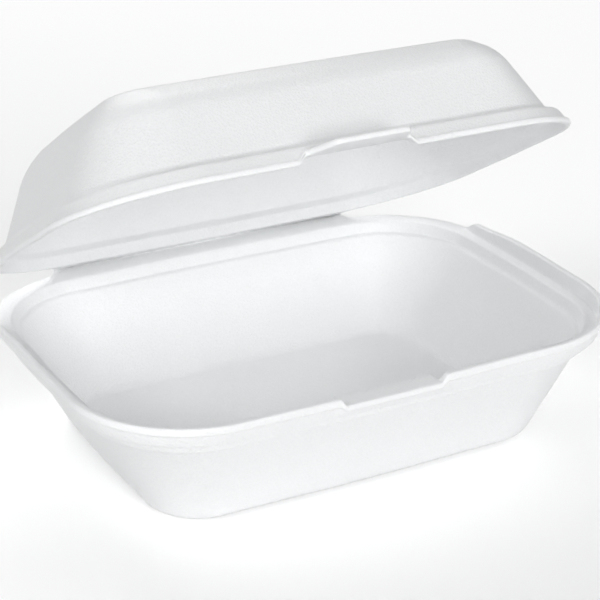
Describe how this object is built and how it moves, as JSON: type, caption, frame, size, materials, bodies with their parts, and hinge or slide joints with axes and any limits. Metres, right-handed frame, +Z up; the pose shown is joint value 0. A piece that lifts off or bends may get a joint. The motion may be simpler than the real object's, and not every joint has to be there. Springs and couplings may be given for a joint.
{
  "type": "clamshell food container",
  "caption": "Hinged foam clamshell food box: a drafted tray with a stepped rim, and a domed lid with a front thumb tab, standing part open.",
  "frame": {"origin": "centre of the tray's floor, on its underside", "axes": "+X along the length, to the right seen from the front; +Y to the rear, towards the hinge; +Z up"},
  "size_m": [0.185, 0.1417, 0.1252],
  "materials": {
    "foam": "satin, fine grain of foamed polystyrene sheet"
  },
  "bodies": {
    "base": {"base_tray": "foam"},
    "lid": {"lid": "foam"}
  },
  "joints": [
    {"name": "lid_hinge", "type": "hinge", "parent": "base", "child": "lid", "pos_m": [0, 0.0715, 0.03845], "axis": [-1, 0, 0], "range_deg": [-30.6, 149.4]}
  ]
}
